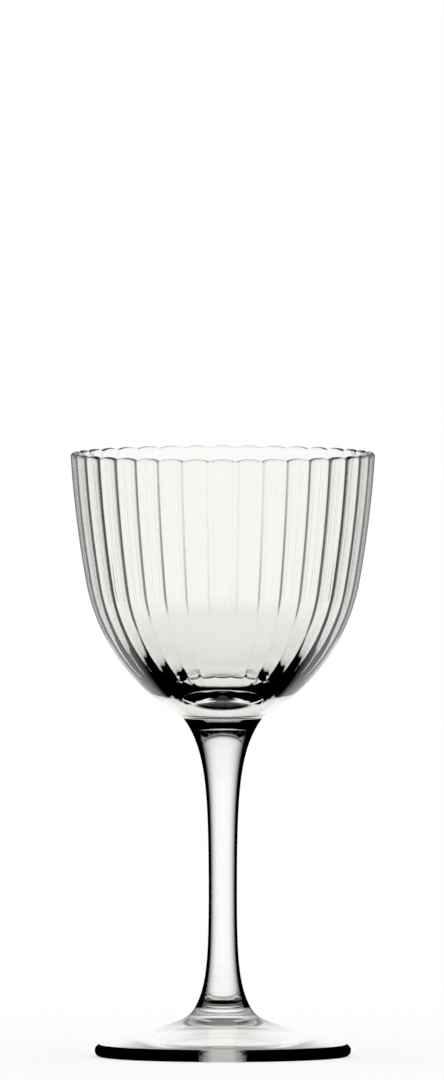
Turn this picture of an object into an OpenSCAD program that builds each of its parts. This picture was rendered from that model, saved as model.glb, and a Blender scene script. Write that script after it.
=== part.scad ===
// Stemmed cocktail glass with an optic-fluted bowl: bowl, stem and foot, fused end to end.
// Millimetres, +Z up. The origin is the centre of the foot, on the table.

/* [Overall] */
// Height from the table to the rim
glass_h = 142; // [136:1:150]

/* [Bowl] */
// Outer diameter at the rim
rim_d = 71.6; // [68:0.2:75]
// Lean of the wall at the rim, in degrees from upright
rim_lean = 3.6; // [2.6:0.2:4.6]
// Radius of the upper side, seen in section
side_r = 264; // [220:2:320]
// Lean at which the upper side turns into the belly, in degrees
belly_lean = 10.2; // [9.4:0.2:11]
// Radius of the belly, seen in section
belly_r = 46.2; // [44.2:0.5:48.2]
// Thickness of the wall beside the rim
wall_t = 1.9; // [1.6:0.1:2.2]
// Thickness of the solid glass between the cavity's floor and the seam
base_t = 6.4; // [5.4:0.1:7.4]

/* [Optic flutes] */
// Number of flutes round the inside of the bowl
flute_count = 36; // [24:2:40]
// Depth of a flute at the rim
flute_depth = 0.6; // [0.4:0.05:0.8]
// Radius of a flute, seen in cross-section
flute_r = 1.2; // [1:0.05:1.5]
// Lean of the belly at which the flutes fade out, in degrees
flute_end_lean = 62; // [54:1:68]

/* [Stem] */
// Diameter at the narrowest place
waist_d = 6.5; // [5.5:0.1:8]
// Diameter of the seam with the bowl
top_seam_d = 18.6; // [17:0.2:20]
// How far the seam's edge stands out from the belly's curve
top_seam_out = 0.3; // [0.15:0.05:0.6]
// Height over which the flare under the bowl dies away
top_flare_h = 8.2; // [7:0.1:9]
// Height over which the flare above the foot dies away
foot_flare_h = 5.9; // [5:0.1:6.5]

/* [Foot] */
// Outer diameter of the foot
foot_d = 60.2; // [56:0.2:66]
// Diameter of the seam with the stem
foot_seam_d = 13; // [12.4:0.2:14]
// Height of the seam above the table
foot_seam_h = 11.6; // [11:0.2:13]
// Slope of the foot's upper face beside its edge, in degrees
edge_slope = 12.4; // [11:0.2:14]
// Radius of the hollow curve of the upper face, seen in section
foot_top_r = 134; // [110:1:180]
// Radius of the foot's rounded edge
foot_edge_r = 1.45; // [1.25:0.05:1.7]
// Width of the flat ring that stands on the table
ring_w = 3; // [2:0.5:5]
// Rise of the hollow under the foot, at its centre
kick_h = 7; // [5.4:0.2:7.4]
// Share of the hollow's curve that flares out to the ring
hollow_flare = 0.4; // [0.35:0.05:0.6]

/* [Hidden] */
$fn = 72;
// Segments to a circle where a section's arc has a long radius
long_arc_fn = 240;

// How far a cutter runs past the face that it cuts
overrun = 1;
// Angle by which a flute's cutters run past the rim, each other and the fade, in degrees
flute_overrun = 4;
// How much fatter the lower cutter is, so that the two cuts cross and leave no web between them
cutter_gain = 0.02;
// Number of steps along the stem's flared outline, and along each curve of the foot's hollow
stem_steps = 40;
hollow_steps = 12;
// Tint of the clear glass
glass_tint = [0.86, 0.92, 0.91, 0.45];

// Outward normal, in section, of a wall that leans in by this many degrees on its way down
function lean(a) = [cos(a), -sin(a)];
// Outward normal, in section, of a face that slopes down and out by this many degrees
function slope(a) = [sin(a), cos(a)];
function square_of(v) = v * v;
function unit(v) = v / norm(v);

rim_r = rim_d / 2;
waist_r = waist_d / 2;
top_seam_r = top_seam_d / 2;
foot_seam_r = foot_seam_d / 2;
foot_r = foot_d / 2;

// Outside of the bowl, in section: the upper side, the belly, and the throat down to the seam
side_centre = [rim_r, glass_h] - side_r * lean(rim_lean);
belly_top = side_centre + side_r * lean(belly_lean);
belly_centre = belly_top - belly_r * lean(belly_lean);
seam_reach = top_seam_r - top_seam_out - belly_centre.x;
seam_z = belly_centre.y - sqrt(square_of(belly_r) - square_of(seam_reach));
top_seam_lean = atan((top_seam_r - waist_r) / top_flare_h);
top_seam = [top_seam_r, seam_z];
top_seam_offset = top_seam - belly_centre;
throat_r = (square_of(top_seam_offset) - square_of(belly_r)) / 2
    / (belly_r - top_seam_offset * lean(top_seam_lean));
throat_centre = top_seam + throat_r * lean(top_seam_lean);
throat_top = belly_centre + belly_r * unit(throat_centre - belly_centre);

// Inside of the bowl, in section: the side's parallel, and a round bubble that it runs into
wall_r = side_r - wall_t;
floor_z = seam_z + base_t;
side_drop = floor_z - side_centre.y;
bubble_r = (square_of(wall_r) - square_of(side_centre.x) - square_of(side_drop))
    / 2 / (wall_r + side_drop);
bubble_centre = [0, floor_z + bubble_r];
bubble_top = side_centre + wall_r * unit(bubble_centre - side_centre);
bubble_lean = asin((bubble_centre.y - bubble_top.y) / bubble_r);

// The rim is a round bead that runs into both faces of the wall
bead_r = wall_t / 2;
bead_path_r = side_r - bead_r;
bead_z = glass_h - bead_r;
bead_lean = asin((side_centre.y - bead_z) / bead_path_r);
bead_centre = side_centre + bead_path_r * lean(bead_lean);

// A flute's path bends a little tighter than the bubble, so that it runs out of the glass
fade_share = cos(flute_end_lean - bubble_lean);
fade_path_r = bubble_r - flute_r - flute_depth * fade_share / (1 - fade_share);
fade_centre = bubble_top + (flute_depth - flute_r - fade_path_r) * lean(bubble_lean);

// Foot, in section: the rounded edge, the hollow upper face and the fillet up to the seam
edge_centre = [foot_r - foot_edge_r, foot_edge_r];
edge_top = edge_centre + foot_edge_r * slope(edge_slope);
top_centre = edge_top + foot_top_r * slope(edge_slope);
foot_seam_lean = atan((foot_seam_r - waist_r) / foot_flare_h);
foot_seam = [foot_seam_r, foot_seam_h];
foot_seam_normal = slope(90 - foot_seam_lean);
foot_seam_offset = foot_seam - top_centre;
fillet_r = (square_of(foot_top_r) - square_of(foot_seam_offset)) / 2
    / (foot_top_r + foot_seam_offset * foot_seam_normal);
fillet_centre = foot_seam + fillet_r * foot_seam_normal;
fillet_end = top_centre + foot_top_r * unit(fillet_centre - top_centre);
ring_inner_r = edge_centre.x - ring_w;

// Hollow under the foot, in section: a curve that flares up from the ring, and a dome that it runs into
hollow_r = (square_of(ring_inner_r) + square_of(kick_h)) / 2 / kick_h;
flare_r = hollow_r * hollow_flare;
dome_r = hollow_r - flare_r;
hollow_slope = asin(ring_inner_r / hollow_r);

module disc(centre, r) {
    translate(centre) circle(r = r, $fn = long_arc_fn);
}

// What lies between two heights and outside the axis
module band(low, high) {
    intersection() {
        children();
        translate([0, low]) square([rim_d, high - low]);
    }
}

// What lies on one side of the line across the wall at the rim's bead
module at_bead(from) {
    intersection() {
        children();
        translate(bead_centre) rotate(-bead_lean) translate([-rim_d, from]) square([2 * rim_d, glass_h]);
    }
}

module bowl_outline() {
    band(belly_top.y, glass_h) disc(side_centre, side_r);
    band(seam_z, belly_centre.y) disc(belly_centre, belly_r);
    difference() {
        translate([0, seam_z]) square([throat_top.x, belly_centre.y - seam_z]);
        disc(throat_centre, throat_r);
    }
}

module cavity_outline() {
    band(bubble_top.y, glass_h + overrun) disc(side_centre, wall_r);
    band(floor_z - overrun, glass_h) disc(bubble_centre, bubble_r);
}

module bowl_section() {
    at_bead(-glass_h) difference() {
        bowl_outline();
        cavity_outline();
    }
    at_bead(0) disc(bead_centre, bead_r);
}

// A stretch of a flute's round cutter, along an arc of the wall between two leans
module flute_stretch(centre, path_r, low_lean, high_lean, cutter_r) {
    translate([centre.x, 0, centre.y])
        rotate([90, 0, 0])
            rotate(-low_lean)
                rotate_extrude(angle = low_lean - high_lean, $fn = long_arc_fn)
                    translate([path_r, 0]) circle(r = cutter_r);
}

// Along the side a flute keeps its depth, down to the bubble
module side_flute() {
    path_r = wall_r + flute_depth - flute_r;
    flute_stretch(side_centre, path_r, bubble_lean, rim_lean - flute_overrun, flute_r);
}

// Down the bubble it gets shallower until it runs out
module fading_flute() {
    low_lean = flute_end_lean + flute_overrun;
    flute_stretch(fade_centre, fade_path_r, low_lean, bubble_lean - flute_overrun, flute_r + cutter_gain);
}

module round_the_wall() {
    for (k = [0 : flute_count - 1]) rotate((k + 0.5) * 360 / flute_count) children();
}

module bowl() {
    color(glass_tint) difference() {
        difference() {
            rotate_extrude() bowl_section();
            round_the_wall() side_flute();
        }
        round_the_wall() fading_flute();
    }
}

// Radius of the stem at a height: a slim waist, and a flare that dies away from each seam
function stem_radius(z) = waist_r
    + (top_seam_r - waist_r) * exp((z - seam_z) / top_flare_h)
    + (foot_seam_r - waist_r) * exp((foot_seam_h - z) / foot_flare_h);

// Heights along the stem, closer together towards the seams
function stem_height(i) = foot_seam_h + (seam_z - foot_seam_h) * (1 - cos(180 * i / stem_steps)) / 2;

module stem() {
    outline = [for (i = [0 : stem_steps]) let (z = stem_height(i)) [stem_radius(z), z]];
    color(glass_tint) rotate_extrude() polygon(concat([[0, foot_seam_h]], outline, [[0, seam_z]]));
}

// Points along the hollow, from the ring in to the axis
function hollow_outline() = concat(
    [for (i = [0 : hollow_steps]) let (a = hollow_slope * i / hollow_steps)
        [ring_inner_r, flare_r] + flare_r * [-sin(a), -cos(a)]],
    [for (i = [1 : hollow_steps]) let (a = hollow_slope * (1 - i / hollow_steps))
        [0, kick_h - dome_r] + dome_r * [sin(a), cos(a)]]);

module foot_section() {
    difference() {
        square([edge_top.x, foot_seam_h]);
        intersection() {
            translate([fillet_end.x, 0]) square([foot_r, foot_seam_h]);
            disc(top_centre, foot_top_r);
        }
        intersection() {
            square([fillet_end.x, foot_seam_h]);
            disc(fillet_centre, fillet_r);
        }
        polygon(concat([[0, -overrun], [ring_inner_r, -overrun]], hollow_outline()));
    }
    disc(edge_centre, foot_edge_r);
}

module foot() {
    color(glass_tint) rotate_extrude() foot_section();
}

bowl();
stem();
foot();
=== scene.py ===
import bpy
from math import asin, atan, atan2, ceil, cos, degrees, exp, hypot, pi, radians, sin, sqrt
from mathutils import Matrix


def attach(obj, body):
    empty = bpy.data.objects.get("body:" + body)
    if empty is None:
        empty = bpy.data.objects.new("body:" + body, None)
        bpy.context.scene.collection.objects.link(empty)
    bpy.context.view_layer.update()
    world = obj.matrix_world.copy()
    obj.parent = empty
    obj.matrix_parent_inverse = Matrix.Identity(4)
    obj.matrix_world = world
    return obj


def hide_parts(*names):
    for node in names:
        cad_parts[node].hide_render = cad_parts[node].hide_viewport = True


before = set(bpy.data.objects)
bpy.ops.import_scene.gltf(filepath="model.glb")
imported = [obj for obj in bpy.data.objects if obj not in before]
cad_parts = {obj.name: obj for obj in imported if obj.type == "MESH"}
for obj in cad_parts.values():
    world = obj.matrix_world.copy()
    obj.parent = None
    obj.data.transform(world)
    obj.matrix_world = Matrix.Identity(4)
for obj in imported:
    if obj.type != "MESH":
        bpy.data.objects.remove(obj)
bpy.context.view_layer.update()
mm = 0.001
samePoint = 1e-7   # vertices this close are merged
closeBy = 1e-6     # and this close counts as lying on an arc or in a seam
print("stage: solids loaded")

# Seen as from far off, a little above the table. The photograph's rim and foot open by about the
# same angle, so the rays run side by side.
view = {
    "elevation": 2.75,                   # degrees
    "distance": 3.0,
    "frameHeight": 0.2536,               # what the frame's 1080 rows cover
    "lookAt": (-0.00019, 0.0, 0.1214),   # the middle of the frame
    "nearest": 0.1,
    "furthest": 100,
}


def addCamera(v):
    lens = bpy.data.cameras.new("camera")
    cam = bpy.data.objects.new("camera", lens)
    bpy.context.scene.collection.objects.link(cam)
    up = radians(v["elevation"])
    x, y, z = v["lookAt"]
    cam.location = (x, y - v["distance"] * cos(up), z + v["distance"] * sin(up))
    cam.rotation_euler = (pi / 2 - up, 0, 0)
    lens.type = "ORTHO"
    lens.sensor_fit = "VERTICAL"
    lens.ortho_scale = v["frameHeight"]
    lens.clip_start = v["nearest"]
    lens.clip_end = v["furthest"]
    bpy.context.scene.camera = cam


addCamera(view)
print("stage: camera")


def linear(hexColour):
    # sRGB hex to linear, by the standard's curve
    out = []
    for i in (0, 2, 4):
        c = int(hexColour[i:i + 2], 16) / 255
        out.append(c / 12.92 if c <= 0.04045 else ((c + 0.055) / 1.055) ** 2.4)
    return (*out, 1.0)


def addNode(tree, kind, settings=None, links=None):
    # settings: attributes, or sockets by name or number; links: socket -> (node, output)
    node = tree.nodes.new(kind)
    for key, value in (settings or {}).items():
        if isinstance(key, int) or key in node.inputs:
            node.inputs[key].default_value = value
        else:
            setattr(node, key, value)
    for key, (source, output) in (links or {}).items():
        tree.links.new(source.outputs[output], node.inputs[key])
    return node


def deselectAll():
    if bpy.context.object and bpy.context.object.mode != "OBJECT":
        bpy.ops.object.mode_set(mode="OBJECT")
    bpy.ops.object.select_all(action="DESELECT")


def drawSection(name, points):
    # A small plane is merged to one point, which is pushed along the section in the XZ plane
    deselectAll()
    bpy.ops.mesh.primitive_plane_add(size=mm, location=(0, 0, 0))
    piece = bpy.context.object
    piece.name = name
    piece.data.name = name
    bpy.ops.object.mode_set(mode="EDIT")
    bpy.ops.mesh.select_all(action="SELECT")
    bpy.ops.mesh.merge(type="CENTER")
    x, z = points[0]
    bpy.ops.transform.translate(value=(x, 0, z))
    for nextX, nextZ in points[1:]:
        step = (nextX - x, 0, nextZ - z)
        bpy.ops.mesh.extrude_region_move(TRANSFORM_OT_translate={"value": step})
        x, z = nextX, nextZ
    bpy.ops.object.mode_set(mode="OBJECT")
    return piece


def applyModifier(piece, name):
    deselectAll()
    piece.select_set(True)
    bpy.context.view_layer.objects.active = piece
    bpy.ops.object.modifier_apply(modifier=name)


def turnSection(piece, steps):
    # The section is turned once round the glass's axis, and closed where it meets itself
    lathe = piece.modifiers.new("lathe", "SCREW")
    lathe.axis = "Z"
    lathe.angle = 2 * pi
    lathe.screw_offset = 0
    lathe.steps = steps
    lathe.render_steps = steps
    lathe.use_merge_vertices = True
    lathe.merge_threshold = samePoint
    applyModifier(piece, "lathe")
    bpy.ops.object.mode_set(mode="EDIT")
    bpy.ops.mesh.select_all(action="SELECT")
    bpy.ops.mesh.remove_doubles(threshold=samePoint)
    bpy.ops.mesh.normals_make_consistent(inside=False)
    bpy.ops.mesh.faces_shade_smooth()
    bpy.ops.object.mode_set(mode="OBJECT")


def arc(centre, radius, startLean, endLean, step):
    # Points on a wall's arc between two leans, in degrees in from upright on the way down
    turn = endLean - startLean
    count = max(2, ceil(abs(radians(turn)) * radius / step))
    leans = [radians(startLean + turn * i / count) for i in range(count + 1)]
    return [(centre[0] + radius * cos(a), centre[1] - radius * sin(a)) for a in leans]


def disc(radius, height, rings=4):
    # A flat end, from the axis out
    return [(radius * i / rings, height) for i in range(rings + 1)]


def joinPoints(*runs):
    # One run after the other, with the point that two of them share kept once
    out = []
    for run in runs:
        for x, z in run:
            if not out or hypot(x - out[-1][0], z - out[-1][1]) > closeBy:
                out.append((x, z))
    return [(max(x, 0), z) for x, z in out]


# Where the three pieces are fused, and what the stem's outline is made from
glass = {
    "height": 142 * mm,
    "seamHeight": 79.557 * mm,     # bowl to stem
    "footSeamHeight": 11.6 * mm,   # stem to foot
    "waistRadius": 3.25 * mm,
    "topSeamRadius": 9.3 * mm,
    "topFlare": 8.2 * mm,          # height over which the flare under the bowl dies away
    "footSeamRadius": 6.5 * mm,
    "footFlare": 5.9 * mm,
}

bowlShape = {
    "rimRadius": 35.8 * mm,
    "rimLean": 3.6,               # degrees from upright, as the other leans
    "sideRadius": 264 * mm,
    "bellyLean": 10.2,
    "bellyRadius": 46.2 * mm,
    "wall": 1.9 * mm,
    "base": 6.0 * mm,
    "cornerRadius": 30.73 * mm,   # the cavity's round lower corner
    "floorRadius": 80 * mm,       # and its gently dished floor
    "rowStep": 1.4 * mm,          # between rows of faces outside
    "innerStep": 1.1 * mm,        # and inside
    "throatRows": 3,              # rows in the throat to one elsewhere
    "beadRows": 12,
    "ribs": 36,
    "columnsPerRib": 16,
    "valleyDepth": 0.5 * mm,
    "valleyRounding": 0.05,       # share of the pitch over which the valley's bottom is round
    "valleyPower": 3,             # how tightly the ribs' flanks close on the valley
    # how much of the valleys is left at these leans of the cavity's wall
    "ribShare": [(12, 1.0), (32, 0.25), (42, 0.12), (56, 0.12), (60, 0.0)],
    "rimDip": 1.0,                # how far the rim's crown follows the valleys, as a share
    "beadSlack": 1.05,            # a little more than the rim's bead, to find its points
    "leanSlack": 0.01,
    "weightDigits": 3,            # points that are pushed alike to this many digits share a group
    "leastWeight": 0.001,
}


def meet(c1, r1, c2, r2):
    # The lower meeting point of two circles
    dx = c2[0] - c1[0]
    dz = c2[1] - c1[1]
    gap = hypot(dx, dz)
    along = (r1 * r1 - r2 * r2 + gap * gap) / 2 / gap
    off = sqrt(r1 * r1 - along * along)
    a = (c1[0] + (dx * along - dz * off) / gap, c1[1] + (dz * along + dx * off) / gap)
    b = (c1[0] + (dx * along + dz * off) / gap, c1[1] + (dz * along - dx * off) / gap)
    return a if a[1] < b[1] else b


def leanFrom(centre, point):
    return degrees(atan2(centre[1] - point[1], point[0] - centre[0]))


def bowlSection(g, b):
    top = g["height"]
    seam = g["seamHeight"]
    seamR = g["topSeamRadius"]
    sideR = b["sideRadius"]
    bellyR = b["bellyRadius"]
    rimLean = radians(b["rimLean"])
    bellyLean = radians(b["bellyLean"])
    # outside: the upper side, the belly, and the throat down to the seam
    sideC = (b["rimRadius"] - sideR * cos(rimLean), top + sideR * sin(rimLean))
    k = sideR - bellyR
    bellyC = (sideC[0] + k * cos(bellyLean), sideC[1] - k * sin(bellyLean))
    seamLean = atan((seamR - g["waistRadius"]) / g["topFlare"])
    n = (cos(seamLean), -sin(seamLean))
    ox = seamR - bellyC[0]
    oz = seam - bellyC[1]
    throatR = (ox * ox + oz * oz - bellyR ** 2) / 2 / (bellyR - (ox * n[0] + oz * n[1]))
    throatC = (seamR + throatR * n[0], seam + throatR * n[1])
    throatLean = leanFrom(bellyC, throatC)
    seamTurn = 180 + degrees(seamLean)   # the throat's own centre is outside the glass
    # the rim's bead, as thick as the wall
    beadR = b["wall"] / 2
    path = sideR - beadR
    beadZ = top - beadR
    beadLean = degrees(asin((sideC[1] - beadZ) / path))
    bead = (sideC[0] + path * cos(radians(beadLean)), beadZ)
    # the cavity: the side's parallel, a corner and a dished floor, each running into the next
    wallR = sideR - b["wall"]
    cornerR = b["cornerRadius"]
    floorR = b["floorRadius"]
    floorC = (0.0, seam + b["base"] + floorR)
    cornerC = meet(sideC, wallR - cornerR, floorC, floorR - cornerR)
    cornerTop = leanFrom(sideC, cornerC)
    cornerEnd = leanFrom(floorC, cornerC)
    inner = [
        (sideC, wallR, beadLean, cornerTop),
        (cornerC, cornerR, cornerTop, cornerEnd),
        (floorC, floorR, cornerEnd, 90),
    ]
    points = joinPoints(
        disc(seamR, seam),
        arc(throatC, throatR, seamTurn, 180 + throatLean, b["rowStep"] / b["throatRows"]),
        arc(bellyC, bellyR, throatLean, b["bellyLean"], b["rowStep"]),
        arc(sideC, sideR, b["bellyLean"], beadLean, b["rowStep"]),
        arc(bead, beadR, beadLean, beadLean - 180, beadR * pi / b["beadRows"]),
        *[arc(*part, b["innerStep"]) for part in inner])
    return points, {"bead": bead, "beadRadius": beadR, "inner": inner}


def innerLean(at, r, z, slack):
    # The lean of the cavity's wall at a point that lies on it, or nothing elsewhere
    for centre, radius, low, high in at["inner"]:
        if abs(hypot(r - centre[0], z - centre[1]) - radius) < closeBy:
            lean = leanFrom(centre, (r, z))
            if low - slack <= lean <= high + slack:
                return lean


def valleyShare(phase, b):
    # phase: 0 in the valley, 0.5 on the rib's crest; a round-backed rib and a soft valley
    p = sqrt(phase * phase + b["valleyRounding"] ** 2)
    return (max(0.0, 1 - 2 * p) / (1 - 2 * b["valleyRounding"])) ** b["valleyPower"]


def ribShareAt(lean, steps):
    # It eases from one step to the next
    before = steps[0]
    for step in steps:
        if lean < step[0]:
            t = (lean - before[0]) / (step[0] - before[0]) if step[0] > before[0] else 0
            return before[1] + (step[1] - before[1]) * max(0, t * t * (3 - 2 * t))
        before = step
    return before[1]


def addRibs(piece, b, at):
    # The cavity's wall is pushed back into the glass along each valley, and the ribs stay
    pitch = 2 * pi / b["ribs"]
    beadX, beadZ = at["bead"]
    group = piece.vertex_groups.new(name="valleys")
    buckets = {}
    for v in piece.data.vertices:
        x, y, z = v.co
        r = hypot(x, y)
        if z > beadZ and hypot(r - beadX, z - beadZ) < at["beadRadius"] * b["beadSlack"]:
            # the bead: nothing outside, the whole valley from the crown in
            turn = atan2(z - beadZ, r - beadX)
            share = b["rimDip"] * sin(min(turn, pi / 2)) ** 2
        else:
            lean = innerLean(at, r, z, b["leanSlack"])
            if lean is None:
                continue
            share = ribShareAt(lean, b["ribShare"])
        phase = ((atan2(y, x) + pi / 2) / pitch) % 1.0   # 0 on the crest that faces the camera
        w = share * valleyShare(abs(phase - 0.5), b)
        if w > b["leastWeight"]:
            buckets.setdefault(round(w, b["weightDigits"]), []).append(v.index)
    for w, indices in buckets.items():
        group.add(indices, w, "REPLACE")
    push = piece.modifiers.new("valleys", "DISPLACE")
    push.vertex_group = "valleys"
    push.mid_level = 0
    push.strength = -b["valleyDepth"]
    push.direction = "NORMAL"
    applyModifier(piece, "valleys")
    piece.vertex_groups.clear()


bowlPoints, bowlAt = bowlSection(glass, bowlShape)
bowl = drawSection("blownBowl", bowlPoints)
turnSection(bowl, bowlShape["ribs"] * bowlShape["columnsPerRib"])
addRibs(bowl, bowlShape, bowlAt)
print("stage: bowl,", len(bowl.data.polygons), "faces")

stemShape = {
    "rows": 90,
    "columns": 128,
}


def stemRadius(g, z):
    top = (g["topSeamRadius"] - g["waistRadius"]) * exp((z - g["seamHeight"]) / g["topFlare"])
    low = (g["footSeamRadius"] - g["waistRadius"]) * exp((g["footSeamHeight"] - z) / g["footFlare"])
    return g["waistRadius"] + top + low


def stemSection(g, s):
    # Rows lie closer together towards the seams
    low = g["footSeamHeight"]
    high = g["seamHeight"]
    rows = s["rows"]
    heights = [low + (high - low) * (1 - cos(pi * i / rows)) / 2 for i in range(rows + 1)]
    side = [(stemRadius(g, z), z) for z in heights]
    return joinPoints(disc(side[0][0], low), side, disc(side[-1][0], high)[::-1])


stem = drawSection("drawnStem", stemSection(glass, stemShape))
turnSection(stem, stemShape["columns"])
print("stage: stem,", len(stem.data.polygons), "faces")

footShape = {
    "radius": 30.1 * mm,
    "edgeRadius": 1.45 * mm,
    "edgeSlope": 12.4,        # of the upper face beside the edge, in degrees
    "topRadius": 134 * mm,    # the upper face's hollow curve
    "ring": 3 * mm,           # width of the flat ring that it stands on
    "kick": 7 * mm,           # rise of the hollow underneath
    "hollowFlare": 0.4,       # share of the hollow's curve that flares out towards the ring
    "rowStep": 0.9 * mm,
    "filletStep": 0.6,        # the fillet's rows are this much closer
    "edgeRows": 14,
    "columns": 256,
}


def footSection(g, f):
    seam = g["footSeamHeight"]
    seamR = g["footSeamRadius"]
    topR = f["topRadius"]
    # above: the rounded edge, the hollow upper face and the fillet up to the seam
    e = f["edgeRadius"]
    edgeC = (f["radius"] - e, e)
    s = radians(f["edgeSlope"])
    reach = topR + e
    topC = (edgeC[0] + reach * sin(s), edgeC[1] + reach * cos(s))
    lean = atan((seamR - g["waistRadius"]) / g["footFlare"])
    n = (cos(lean), sin(lean))
    ox = seamR - topC[0]
    oz = seam - topC[1]
    filletR = (topR ** 2 - ox * ox - oz * oz) / 2 / (topR + ox * n[0] + oz * n[1])
    filletC = (seamR + filletR * n[0], seam + filletR * n[1])
    turn = degrees(atan2(topC[1] - filletC[1], filletC[0] - topC[0])) % 360
    # underneath: a curve that flares up from the ring, and the dome that it runs into
    inner = edgeC[0] - f["ring"]
    hollowR = (inner ** 2 + f["kick"] ** 2) / 2 / f["kick"]
    flareR = hollowR * f["hollowFlare"]
    domeR = hollowR - flareR
    slope = degrees(asin(inner / hollowR))
    return joinPoints(
        disc(seamR, seam),
        arc(filletC, filletR, 180 - degrees(lean), turn, f["rowStep"] * f["filletStep"]),
        arc(topC, topR, turn, 90 + f["edgeSlope"], f["rowStep"]),
        arc(edgeC, e, f["edgeSlope"] - 90, 90, e * pi / f["edgeRows"]),
        arc((inner, flareR), flareR, 90, 90 + slope, f["rowStep"]),
        arc((0, f["kick"] - domeR), domeR, slope - 90, -90, f["rowStep"]))


foot = drawSection("pressedFoot", footSection(glass, footShape))
turnSection(foot, footShape["columns"])
print("stage: foot,", len(foot.data.polygons), "faces")


def makeGlass(name, g):
    # Soda-lime glass, clear and glossy. Its tint is painted darker, down to black, where a wall
    # turns
    # away from the eye: painted shade standing in for the dark sides of the room, the same from
    # every side.
    mat = bpy.data.materials.new(name)
    mat.use_nodes = True
    tree = mat.node_tree
    tree.nodes.clear()
    place = addNode(tree, "ShaderNodeTexCoord")
    spot = addNode(tree, "ShaderNodeSeparateXYZ", links={0: (place, "Object")})
    side = addNode(tree, "ShaderNodeNewGeometry")
    path = addNode(tree, "ShaderNodeLightPath")
    first = addNode(tree, "ShaderNodeMath", {"operation": "LESS_THAN", 1: 0.5},
                    {0: (path, "Ray Depth")})
    flat = addNode(tree, "ShaderNodeVectorMath", {"operation": "MULTIPLY", 1: (1.0, 1.0, 0.0)},
                   {0: (place, "Object")})
    outward = addNode(tree, "ShaderNodeVectorMath", {"operation": "NORMALIZE"}, {0: (flat, 0)})
    # how far the wall turns away: 0 square on, 1 edge on, and from inside as the ray leaves it
    facing = addNode(tree, "ShaderNodeLayerWeight", {"Blend": 0.5},
                     {"Normal": (outward, 0)} if g["round"] else None)
    cosine = addNode(tree, "ShaderNodeMath", {"operation": "SUBTRACT", 0: 1.0},
                     {1: (facing, "Facing")})
    square = addNode(tree, "ShaderNodeMath", {"operation": "MULTIPLY"},
                     {0: (cosine, 0), 1: (cosine, 0)})
    rest = addNode(tree, "ShaderNodeMath", {"operation": "SUBTRACT", 0: 1.0, "use_clamp": True},
                   {1: (square, 0)})
    sine = addNode(tree, "ShaderNodeMath", {"operation": "SQRT"}, {0: (rest, 0)})
    bend = addNode(tree, "ShaderNodeMath", {"operation": "MULTIPLY_ADD", 1: g["ior"] - 1, 2: 1.0},
                   {0: (side, "Backfacing")})
    slant = addNode(tree, "ShaderNodeMath", {"operation": "MULTIPLY", "use_clamp": True},
                    {0: (sine, 0), 1: (bend, 0)})
    # painted shade: the fall to black as the wall turns away from the eye
    start = addNode(tree, "ShaderNodeMapRange",
                    {"From Min": g["paintedDarkOver"][0], "From Max": g["paintedDarkOver"][1]}, {0: (slant, 0)})
    curve = addNode(tree, "ShaderNodeMath", {"operation": "POWER", 1: g["paintedDarkCurve"]},
                    {0: (start, 0)})
    paintedDark = addNode(tree, "ShaderNodeMath", {"operation": "MULTIPLY", 1: g["dark"]}, {0: (curve, 0)})
    # painted dark lines go down a rib's flanks, told by how far the wall turns from the radius
    # there
    across = addNode(tree, "ShaderNodeVectorMath", {"operation": "CROSS_PRODUCT"},
                     {0: (place, "Object"), 1: (place, "Normal")})
    twist = addNode(tree, "ShaderNodeSeparateXYZ", links={0: (across, 0)})
    size = addNode(tree, "ShaderNodeMath", {"operation": "ABSOLUTE"}, {0: (twist, "Z")})
    radius = addNode(tree, "ShaderNodeVectorMath", {"operation": "LENGTH"}, {0: (flat, 0)})
    tilt = addNode(tree, "ShaderNodeMath", {"operation": "DIVIDE"},
                   {0: (size, 0), 1: (radius, "Value")})
    paintedFlankLines = addNode(tree, "ShaderNodeMapRange",
                    {"interpolation_type": "SMOOTHSTEP", "From Min": g["paintedFlankOver"][0],
                     "From Max": g["paintedFlankOver"][1], "To Max": g["paintedFlankLines"]}, {0: (tilt, 0)})
    steep = addNode(tree, "ShaderNodeMath", {"operation": "POWER", 1: g["paintedFlankCurve"]},
                    {0: (slant, 0)})
    lines = addNode(tree, "ShaderNodeMath", {"operation": "MULTIPLY_ADD"},
                    {0: (steep, 0), 1: (paintedFlankLines, 0), 2: (paintedDark, 0)})
    paintedShadeRamp = addNode(tree, "ShaderNodeMath",
                   {"operation": "MULTIPLY_ADD", 1: g["paintedGrey"], "use_clamp": True},
                   {0: (slant, 0), 2: (lines, 0)})
    # the painted shade goes on an inner wall where rays come to it bent, on an outer one where they
    # first go in
    if g["innerWall"]:
        where = addNode(tree, "ShaderNodeMath", {"operation": "SUBTRACT", 0: 1.0}, {1: (first, 0)})
    else:
        where = addNode(tree, "ShaderNodeMath", {"operation": "GREATER_THAN"},
                        {0: (first, 0), 1: (side, "Backfacing")})
    shaded = addNode(tree, "ShaderNodeMath", {"operation": "MULTIPLY"},
                     {0: (paintedShadeRamp, 0), 1: (where, 0)})
    upper = addNode(tree, "ShaderNodeMapRange",
                    {"interpolation_type": "SMOOTHSTEP", "From Min": g["paintedShadeAbove"][0],
                     "From Max": g["paintedShadeAbove"][1]}, {0: (spot, "Z")})
    paintedShadeAtHeight = addNode(tree, "ShaderNodeMath", {"operation": "MULTIPLY"},
                     {0: (shaded, 0), 1: (upper, 0)})
    tintAndPaintedShade = addNode(tree, "ShaderNodeMix",
                     {"data_type": "RGBA", 6: linear(g["tint"]), 7: (0.0, 0.0, 0.0, 1.0)},
                     {0: (paintedShadeAtHeight, 0)})
    body = addNode(tree, "ShaderNodeBsdfGlass", {"Roughness": 0.0, "IOR": g["ior"]},
                   {"Color": (tintAndPaintedShade, 2)})
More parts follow.
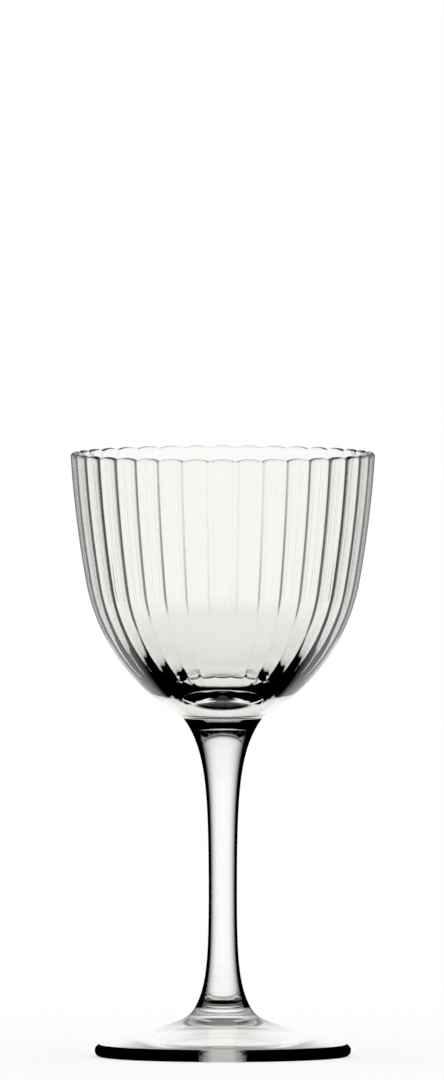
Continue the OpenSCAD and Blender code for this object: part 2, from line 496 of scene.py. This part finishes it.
    # a thin wall lets a share straight through, by its turn, until the ray is out of it again
    thin = addNode(tree, "ShaderNodeMapRange",
                   {"interpolation_type": "SMOOTHSTEP", "From Min": g["clearAbove"][0],
                    "From Max": g["clearAbove"][1]}, {0: (spot, "Z")})
    turned = addNode(tree, "ShaderNodeMapRange",
                     {"interpolation_type": "SMOOTHSTEP", "From Min": g["clearOver"][0],
                      "From Max": g["clearOver"][1], "To Min": g["clear"], "To Max": g["clearFar"]},
                     {0: (sine, 0)})
    entry = addNode(tree, "ShaderNodeMath", {"operation": "MULTIPLY"},
                    {0: (turned, 0), 1: (thin, 0)})
    kept = addNode(tree, "ShaderNodeMath", {"operation": "MAXIMUM"},
                   {0: (entry, 0), 1: (side, "Backfacing")})
    straight = addNode(tree, "ShaderNodeMath", {"operation": "MULTIPLY"},
                       {0: (kept, 0), 1: (first, 0)})
    pane = addNode(tree, "ShaderNodeBsdfTransparent", links={"Color": (tintAndPaintedShade, 2)})
    seen = addNode(tree, "ShaderNodeMixShader",
                   links={0: (straight, 0), 1: (body, 0), 2: (pane, 0)})
    # its shadow is pale, as clear glass leaves it
    clear = addNode(tree, "ShaderNodeBsdfTransparent", {"Color": linear(g["shadow"])})
    mix = addNode(tree, "ShaderNodeMixShader",
                  links={0: (path, "Is Shadow Ray"), 1: (seen, 0), 2: (clear, 0)})
    addNode(tree, "ShaderNodeOutputMaterial", links={"Surface": (mix, 0)})
    return mat


def makeSeam(name):
    # Two pieces fused hot leave nothing to see where they meet
    mat = bpy.data.materials.new(name)
    mat.use_nodes = True
    tree = mat.node_tree
    tree.nodes.clear()
    clear = addNode(tree, "ShaderNodeBsdfTransparent", {"Color": (1, 1, 1, 1)})
    addNode(tree, "ShaderNodeOutputMaterial", links={"Surface": (clear, 0)})
    return mat


everywhere = (-1.0, -0.9)   # a range of heights that all of the glass is above
plainGlass = {
    "ior": 1.52,
    "tint": "fefefd",
    "shadow": "f4f4f4",
    "round": False,            # whether a wall's turn is read round the axis alone
    "innerWall": False,
    "dark": 1.0,               # how black the painted shade makes the turned wall
    "paintedDarkOver": (0.0, 1.0),    # over this range of the turn
    "paintedDarkCurve": 1,
    "paintedGrey": 0.0,               # painted grey shade that grows evenly with the turn
    "paintedFlankLines": 0.0,              # and the painted dark lines down the ribs' flanks
    "paintedFlankOver": (0.1, 0.4),
    "paintedFlankCurve": 1,
    "paintedShadeAbove": everywhere,  # heights over which all this painted shade comes in
    "clear": 0.0,              # share let straight through where the wall is square on
    "clearFar": 0.0,           # and where it is turned past this range
    "clearOver": (0.3, 0.6),
    "clearAbove": everywhere,  # heights over which the wall gets thin enough for it
}
glassLooks = {
    # Blown in a mould and smooth outside: glossy and nearly colourless, with a thin dark outline,
    # partly refraction and partly painted shade where the wall turns away
    "bowl": {
        **plainGlass,
        "tint": "fdfdfc",
        "round": True,
        "dark": 0.8,
        "paintedDarkCurve": 30,
        "paintedShadeAbove": (95 * mm, 101 * mm),
        "clear": 0.25,
        "clearOver": (0.5, 0.85),
        "clearAbove": (95 * mm, 101 * mm),
    },
    # Its inner wall, from the ribbed mould: soft grey lines that get darker towards the sides, from
    # refraction in the valleys and painted shade down the ribs' flanks
    "ribs": {
        **plainGlass,
        "tint": "fdfdfc",
        "innerWall": True,
        "dark": 0.1,
        "paintedDarkCurve": 10,
        "paintedGrey": 0.02,
        "paintedFlankLines": 3.0,
        "paintedFlankOver": (0.22, 0.42),
        "paintedFlankCurve": 6,
        "paintedShadeAbove": (94 * mm, 102 * mm),
        "clear": 0.4,
        "clearOver": (0.6, 0.9),
        "clearAbove": (94 * mm, 102 * mm),
    },
    # Drawn hot into a solid rod: a bright middle between broad black edges, partly refraction and
    # partly painted shade where its sides turn away
    "stem": {
        **plainGlass,
        "paintedDarkOver": (0.3, 0.85),
        "paintedDarkCurve": 2.5,
        "paintedGrey": 0.12,
    },
    # Pressed out thin and flat: almost nothing to see but the grey of its rise to the stem, painted
    # shade where the rise turns away
    "foot": {
        **plainGlass,
        "dark": 0.9,
        "paintedDarkOver": (0.5, 1.0),
        "paintedDarkCurve": 3,
        "paintedShadeAbove": (6 * mm, 11 * mm),
        "clear": 0.2,
        "clearFar": 1.0,
        "clearOver": (0.97, 0.995),
    },
    # Fire-polished round the rim of the foot: black, partly refraction and partly painted shade
    # where it turns away, with a bright gap where the eye sees through
    "edge": {
        **plainGlass,
        "round": True,
        "paintedDarkOver": (0.09, 0.2),
        "clear": 1.0,
        "clearOver": (0.09, 0.19),
    },
}
bowlGlass = makeGlass("mouldBlownGlass", glassLooks["bowl"])
ribbedGlass = makeGlass("ribbedInnerWall", glassLooks["ribs"])
stemGlass = makeGlass("drawnGlass", glassLooks["stem"])
footGlass = makeGlass("pressedGlass", glassLooks["foot"])
edgeGlass = makeGlass("firePolishedFootEdge", glassLooks["edge"])
seamInside = makeSeam("fusedSeamInsideTheGlass")
levelEnough = 0.999   # upright part of a flat seam face's normal


def finishPiece(piece, node, mats, pick, seams):
    # pick gives a face's place in mats; the faces inside a fused seam are clear
    piece.data.materials.clear()
    for mat in (*mats, seamInside):
        piece.data.materials.append(mat)
    for face in piece.data.polygons:
        c = face.center
        flat = abs(face.normal.z) > levelEnough and hypot(c.x, c.y) < glass["topSeamRadius"]
        if flat and any(abs(c.z - z) < closeBy for z in seams):
            face.material_index = len(mats)
            face.use_smooth = False
        else:
            face.material_index = pick(face)
    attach(piece, "root")
    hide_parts(node)


def inCavity(face):
    c = face.center
    return 1 if face.normal.x * c.x + face.normal.y * c.y < 0 else 0


def onEdge(face):
    # The foot's rounded edge, from its upper face round to the ring
    f = footShape
    start = f["radius"] - f["edgeRadius"] * (1 - sin(radians(f["edgeSlope"])))
    return 1 if hypot(face.center.x, face.center.y) > start else 0


finishPiece(bowl, "bowl", [bowlGlass, ribbedGlass], inCavity, [glass["seamHeight"]])
finishPiece(stem, "stem", [stemGlass], lambda f: 0, [glass["seamHeight"], glass["footSeamHeight"]])
finishPiece(foot, "foot", [footGlass, edgeGlass], onEdge, [glass["footSeamHeight"]])
print("stage: glass finish")

studio = {
    "ceilingStart": 30.0,    # elevation where the dark ceiling begins, in degrees
    "ceilingEnd": 38.0,
    "underStart": -32.0,     # and where the dark below the table begins
    "underEnd": -40.0,
    "dark": 0.0,
    "floor": "e7e7e7",
    "floorGlow": 0.2,        # lifts the floor to the background's white
    "floorRadius": 14,
    "floorSides": 96,
}


def makeFloor(s):
    # The camera sees a white table with the glass's soft shadow, and rays from the glass pass it by
    deselectAll()
    bpy.ops.mesh.primitive_circle_add(vertices=s["floorSides"], radius=s["floorRadius"],
                                      fill_type="NGON", location=(0, 0, 0))
    floor = bpy.context.object
    floor.name = "studioFloor"
    mat = bpy.data.materials.new("whiteSweep")
    mat.use_nodes = True
    tree = mat.node_tree
    tree.nodes.clear()
    path = addNode(tree, "ShaderNodeLightPath")
    through = addNode(tree, "ShaderNodeMath", {"operation": "MAXIMUM"},
                      {0: (path, "Is Transmission Ray"), 1: (path, "Is Glossy Ray")})
    paint = addNode(tree, "ShaderNodeBsdfDiffuse", {"Color": linear(s["floor"])})
    glow = addNode(tree, "ShaderNodeEmission", {"Color": (1, 1, 1, 1), "Strength": s["floorGlow"]})
    lit = addNode(tree, "ShaderNodeAddShader", links={0: (paint, 0), 1: (glow, 0)})
    clear = addNode(tree, "ShaderNodeBsdfTransparent", {"Color": (1, 1, 1, 1)})
    seen = addNode(tree, "ShaderNodeMixShader",
                   links={0: (path, "Is Camera Ray"), 1: (paint, 0), 2: (lit, 0)})
    mix = addNode(tree, "ShaderNodeMixShader", links={0: (through, 0), 1: (seen, 0), 2: (clear, 0)})
    addNode(tree, "ShaderNodeOutputMaterial", links={"Surface": (mix, 0)})
    floor.data.materials.append(mat)


def makeWorld(s):
    # White all round for what the camera and matt surfaces see. Through the glass it is white from
    # the table up to the top of the backdrop, and dark above. Only rays that turned back inside the
    # glass meet the dark below; the rest see the white table there.
    world = bpy.data.worlds.new("studio")
    bpy.context.scene.world = world
    world.use_nodes = True
    tree = world.node_tree
    tree.nodes.clear()
    where = addNode(tree, "ShaderNodeTexCoord")
    parts = addNode(tree, "ShaderNodeSeparateXYZ", links={0: (where, "Generated")})
    above = addNode(tree, "ShaderNodeMapRange",
                    {"From Min": sin(radians(s["ceilingStart"])),
                     "From Max": sin(radians(s["ceilingEnd"])),
                     "To Min": 1.0, "To Max": s["dark"]}, {0: (parts, "Z")})
    below = addNode(tree, "ShaderNodeMapRange",
                    {"From Min": sin(radians(s["underEnd"])),
                     "From Max": sin(radians(s["underStart"])),
                     "To Min": s["dark"], "To Max": 1.0}, {0: (parts, "Z")})
    path = addNode(tree, "ShaderNodeLightPath")
    straight = addNode(tree, "ShaderNodeMath", {"operation": "LESS_THAN", 1: 0.5},
                       {0: (path, "Glossy Depth")})
    lower = addNode(tree, "ShaderNodeMath", {"operation": "MAXIMUM"},
                    {0: (below, 0), 1: (straight, 0)})
    both = addNode(tree, "ShaderNodeMath", {"operation": "MULTIPLY"},
                   {0: (above, 0), 1: (lower, 0)})
    matt = addNode(tree, "ShaderNodeMath", {"operation": "MAXIMUM"},
                   {0: (path, "Is Camera Ray"), 1: (path, "Is Diffuse Ray")})
    around = addNode(tree, "ShaderNodeBackground", {"Color": (1, 1, 1, 1)}, {"Strength": (both, 0)})
    plain = addNode(tree, "ShaderNodeBackground", {"Color": (1, 1, 1, 1), "Strength": 1.0})
    mix = addNode(tree, "ShaderNodeMixShader", links={0: (matt, 0), 1: (around, 0), 2: (plain, 0)})
    addNode(tree, "ShaderNodeOutputWorld", links={"Surface": (mix, 0)})


makeFloor(studio)
makeWorld(studio)
bpy.context.scene.view_settings.view_transform = "Standard"
print("stage: studio")
